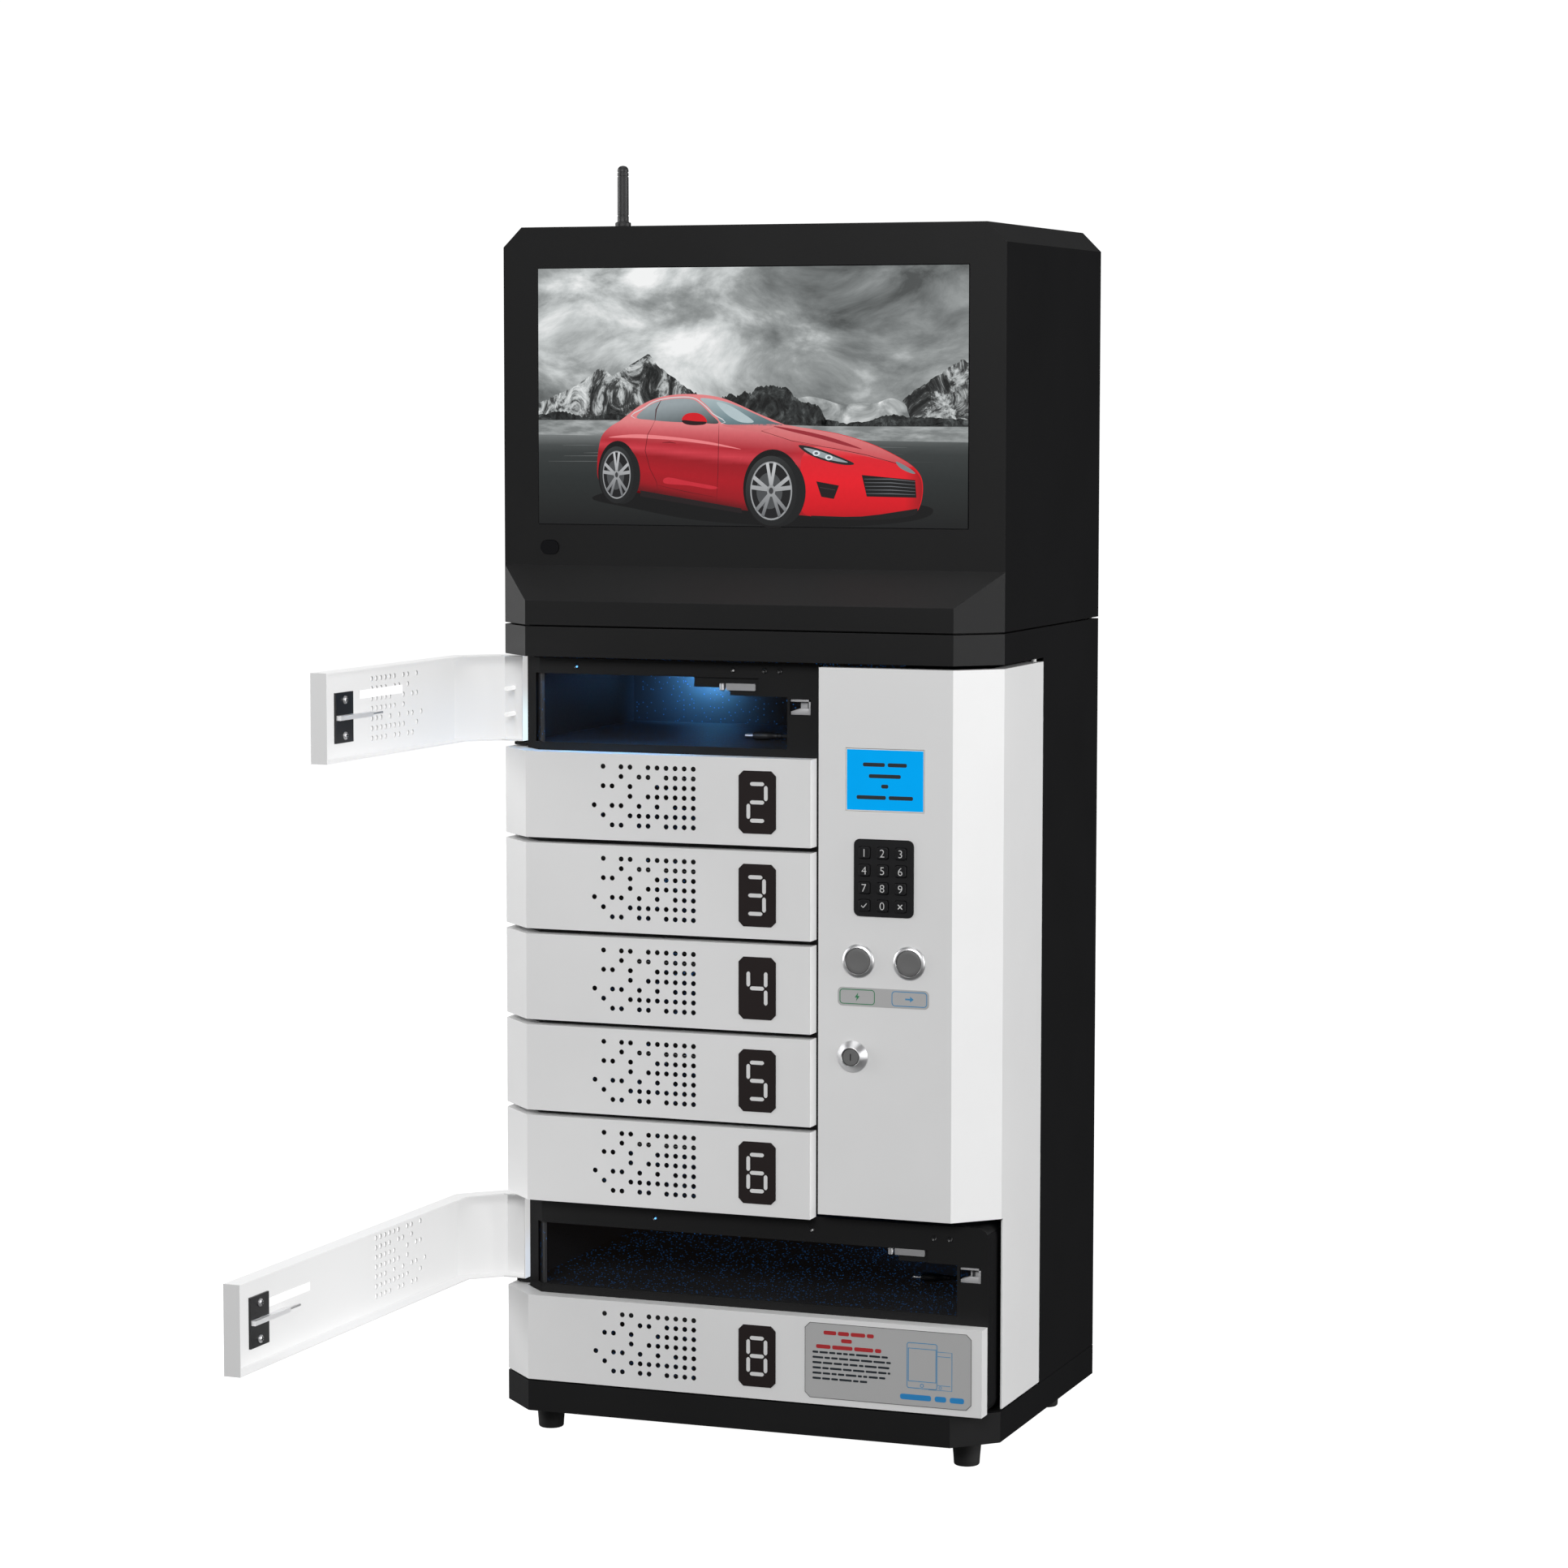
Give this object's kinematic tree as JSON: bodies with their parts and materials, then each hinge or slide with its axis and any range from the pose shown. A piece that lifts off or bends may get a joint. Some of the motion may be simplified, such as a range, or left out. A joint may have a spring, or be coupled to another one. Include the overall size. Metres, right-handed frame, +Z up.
{
  "type": "phone charging kiosk",
  "caption": "Countertop phone charging kiosk: slope-cornered display head over small hinged lockers with latches, and a hinged service panel with keypad, LCD, push buttons and cam lock.",
  "frame": {"origin": "on the surface the kiosk stands on, under the centre of the cabinet's rectangular footprint", "axes": "+Z up, front towards -Y, +X to the right as seen from the front"},
  "size_m": [0.4533, 0.623, 0.978],
  "materials": {
    "black_body": "satin powder coat",
    "white_sheet": "satin powder coat",
    "foot_rubber": "matt",
    "display_glass": "polished",
    "lcd_face": "backlit",
    "black_plastic": "fine grain",
    "key_plastic": "satin",
    "bright_metal": "polished",
    "button_steel": "brushed",
    "supply_case": "plain",
    "circuit_board": "solder mask",
    "lead_rubber": "matt",
    "plug_plastic": "matt"
  },
  "bodies": {
    "cabinet": {"plinth": "black_body", "cabinet_shell": "black_body", "upper_frame": "black_body", "lower_frame": "black_body", "upper_rack": "black_body", "lower_rack": "black_body", "rear_cover": "black_body", "head_shell": "black_body", "head_rear_cover": "black_body", "foot_front_left": "foot_rubber", "foot_front_right": "foot_rubber", "foot_rear_left": "foot_rubber", "foot_rear_right": "foot_rubber", "display_panel": "display_glass", "sensor_window": "display_glass", "antenna": "black_plastic", "power_inlet": "black_plastic", "power_supply": "supply_case", "control_board": "circuit_board", "charge_lead_1": "lead_rubber", "charge_lead_7": "lead_rubber", "charge_plug_1": "plug_plastic", "charge_plug_7": "plug_plastic"},
    "locker_door_1": {"door_1": "white_sheet"},
    "locker_door_2": {"door_2": "white_sheet"},
    "locker_door_3": {"door_3": "white_sheet"},
    "locker_door_4": {"door_4": "white_sheet"},
    "locker_door_5": {"door_5": "white_sheet"},
    "locker_door_6": {"door_6": "white_sheet"},
    "locker_door_7": {"door_7": "white_sheet"},
    "locker_door_8": {"door_8": "white_sheet"},
    "service_panel": {"service_door": "white_sheet", "lcd_module": "lcd_face", "keypad_plate": "black_plastic", "button_bezel_left": "bright_metal", "button_bezel_right": "bright_metal", "lock_barrel": "bright_metal"},
    "cam_lock_plug": {"lock_plug": "button_steel"},
    "keypad_key_1": {"key_1": "key_plastic"},
    "keypad_key_2": {"key_2": "key_plastic"},
    "keypad_key_3": {"key_3": "key_plastic"},
    "keypad_key_4": {"key_4": "key_plastic"},
    "keypad_key_5": {"key_5": "key_plastic"},
    "keypad_key_6": {"key_6": "key_plastic"},
    "keypad_key_7": {"key_7": "key_plastic"},
    "keypad_key_8": {"key_8": "key_plastic"},
    "keypad_key_9": {"key_9": "key_plastic"},
    "keypad_key_0": {"key_0": "key_plastic"},
    "keypad_key_enter": {"key_enter": "key_plastic"},
    "keypad_key_cancel": {"key_cancel": "key_plastic"},
    "push_button_left": {"button_cap_left": "button_steel"},
    "push_button_right": {"button_cap_right": "button_steel"},
    "locker_latch_1": {"latch_1": "button_steel"},
    "locker_latch_2": {"latch_2": "button_steel"},
    "locker_latch_3": {"latch_3": "button_steel"},
    "locker_latch_4": {"latch_4": "button_steel"},
    "locker_latch_5": {"latch_5": "button_steel"},
    "locker_latch_6": {"latch_6": "button_steel"},
    "locker_latch_7": {"latch_7": "button_steel"},
    "locker_latch_8": {"latch_8": "button_steel"}
  },
  "joints": [
    {"name": "door_1_hinge", "type": "hinge", "parent": "cabinet", "child": "locker_door_1", "pos_m": [-0.196, -0.092, 0.5381], "axis": [0, 0, 1], "range_deg": [0, 91.5]},
    {"name": "door_2_hinge", "type": "hinge", "parent": "cabinet", "child": "locker_door_2", "pos_m": [-0.196, -0.092, 0.4679], "axis": [0, 0, -1], "range_deg": [0, 100]},
    {"name": "door_3_hinge", "type": "hinge", "parent": "cabinet", "child": "locker_door_3", "pos_m": [-0.196, -0.092, 0.3977], "axis": [0, 0, -1], "range_deg": [0, 100]},
    {"name": "door_4_hinge", "type": "hinge", "parent": "cabinet", "child": "locker_door_4", "pos_m": [-0.196, -0.092, 0.3275], "axis": [0, 0, -1], "range_deg": [0, 100]},
    {"name": "door_5_hinge", "type": "hinge", "parent": "cabinet", "child": "locker_door_5", "pos_m": [-0.196, -0.092, 0.2573], "axis": [0, 0, -1], "range_deg": [0, 100]},
    {"name": "door_6_hinge", "type": "hinge", "parent": "cabinet", "child": "locker_door_6", "pos_m": [-0.196, -0.092, 0.1871], "axis": [0, 0, -1], "range_deg": [0, 100]},
    {"name": "door_7_hinge", "type": "hinge", "parent": "cabinet", "child": "locker_door_7", "pos_m": [-0.196, -0.092, 0.1169], "axis": [0, 0, 1], "range_deg": [0, 91.5]},
    {"name": "door_8_hinge", "type": "hinge", "parent": "cabinet", "child": "locker_door_8", "pos_m": [-0.196, -0.092, 0.0467], "axis": [0, 0, -1], "range_deg": [0, 100]},
    {"name": "service_panel_hinge", "type": "hinge", "parent": "cabinet", "child": "service_panel", "pos_m": [0.1955, -0.0155, 0.0468], "axis": [0, 0, 1], "range_deg": [0, 95]},
    {"name": "cam_lock_turn", "type": "hinge", "parent": "service_panel", "child": "cam_lock_plug", "pos_m": [0.0939, -0.1424, 0.313], "axis": [0, 1, 0], "range_deg": [0, 90]},
    {"name": "key_1_press", "type": "slide", "parent": "service_panel", "child": "keypad_key_1", "axis": [0, 1, 0], "range_m": [0, 0.001], "stiffness_N_per_m": 600, "springref_m": -0.0005},
    {"name": "key_2_press", "type": "slide", "parent": "service_panel", "child": "keypad_key_2", "axis": [0, 1, 0], "range_m": [0, 0.001], "stiffness_N_per_m": 600, "springref_m": -0.0005},
    {"name": "key_3_press", "type": "slide", "parent": "service_panel", "child": "keypad_key_3", "axis": [0, 1, 0], "range_m": [0, 0.001], "stiffness_N_per_m": 600, "springref_m": -0.0005},
    {"name": "key_4_press", "type": "slide", "parent": "service_panel", "child": "keypad_key_4", "axis": [0, 1, 0], "range_m": [0, 0.001], "stiffness_N_per_m": 600, "springref_m": -0.0005},
    {"name": "key_5_press", "type": "slide", "parent": "service_panel", "child": "keypad_key_5", "axis": [0, 1, 0], "range_m": [0, 0.001], "stiffness_N_per_m": 600, "springref_m": -0.0005},
    {"name": "key_6_press", "type": "slide", "parent": "service_panel", "child": "keypad_key_6", "axis": [0, 1, 0], "range_m": [0, 0.001], "stiffness_N_per_m": 600, "springref_m": -0.0005},
    {"name": "key_7_press", "type": "slide", "parent": "service_panel", "child": "keypad_key_7", "axis": [0, 1, 0], "range_m": [0, 0.001], "stiffness_N_per_m": 600, "springref_m": -0.0005},
    {"name": "key_8_press", "type": "slide", "parent": "service_panel", "child": "keypad_key_8", "axis": [0, 1, 0], "range_m": [0, 0.001], "stiffness_N_per_m": 600, "springref_m": -0.0005},
    {"name": "key_9_press", "type": "slide", "parent": "service_panel", "child": "keypad_key_9", "axis": [0, 1, 0], "range_m": [0, 0.001], "stiffness_N_per_m": 600, "springref_m": -0.0005},
    {"name": "key_enter_press", "type": "slide", "parent": "service_panel", "child": "keypad_key_enter", "axis": [0, 1, 0], "range_m": [0, 0.001], "stiffness_N_per_m": 600, "springref_m": -0.0005},
    {"name": "key_0_press", "type": "slide", "parent": "service_panel", "child": "keypad_key_0", "axis": [0, 1, 0], "range_m": [0, 0.001], "stiffness_N_per_m": 600, "springref_m": -0.0005},
    {"name": "key_cancel_press", "type": "slide", "parent": "service_panel", "child": "keypad_key_cancel", "axis": [0, 1, 0], "range_m": [0, 0.001], "stiffness_N_per_m": 600, "springref_m": -0.0005},
    {"name": "button_left_press", "type": "slide", "parent": "service_panel", "child": "push_button_left", "axis": [0, 1, 0], "range_m": [0, 0.0015], "stiffness_N_per_m": 800, "springref_m": -0.0005},
    {"name": "button_right_press", "type": "slide", "parent": "service_panel", "child": "push_button_right", "axis": [0, 1, 0], "range_m": [0, 0.0015], "stiffness_N_per_m": 800, "springref_m": -0.0005},
    {"name": "latch_1_slide", "type": "slide", "parent": "cabinet", "child": "locker_latch_1", "axis": [-1, 0, 0], "range_m": [0, 0.008], "stiffness_N_per_m": 60, "springref_m": -0.002},
    {"name": "latch_2_slide", "type": "slide", "parent": "cabinet", "child": "locker_latch_2", "axis": [-1, 0, 0], "range_m": [0, 0.008], "stiffness_N_per_m": 60, "springref_m": -0.002},
    {"name": "latch_3_slide", "type": "slide", "parent": "cabinet", "child": "locker_latch_3", "axis": [-1, 0, 0], "range_m": [0, 0.008], "stiffness_N_per_m": 60, "springref_m": -0.002},
    {"name": "latch_4_slide", "type": "slide", "parent": "cabinet", "child": "locker_latch_4", "axis": [-1, 0, 0], "range_m": [0, 0.008], "stiffness_N_per_m": 60, "springref_m": -0.002},
    {"name": "latch_5_slide", "type": "slide", "parent": "cabinet", "child": "locker_latch_5", "axis": [-1, 0, 0], "range_m": [0, 0.008], "stiffness_N_per_m": 60, "springref_m": -0.002},
    {"name": "latch_6_slide", "type": "slide", "parent": "cabinet", "child": "locker_latch_6", "axis": [-1, 0, 0], "range_m": [0, 0.008], "stiffness_N_per_m": 60, "springref_m": -0.002},
    {"name": "latch_7_slide", "type": "slide", "parent": "cabinet", "child": "locker_latch_7", "axis": [-1, 0, 0], "range_m": [0, 0.008], "stiffness_N_per_m": 60, "springref_m": -0.002},
    {"name": "latch_8_slide", "type": "slide", "parent": "cabinet", "child": "locker_latch_8", "axis": [-1, 0, 0], "range_m": [0, 0.008], "stiffness_N_per_m": 60, "springref_m": -0.002}
  ]
}
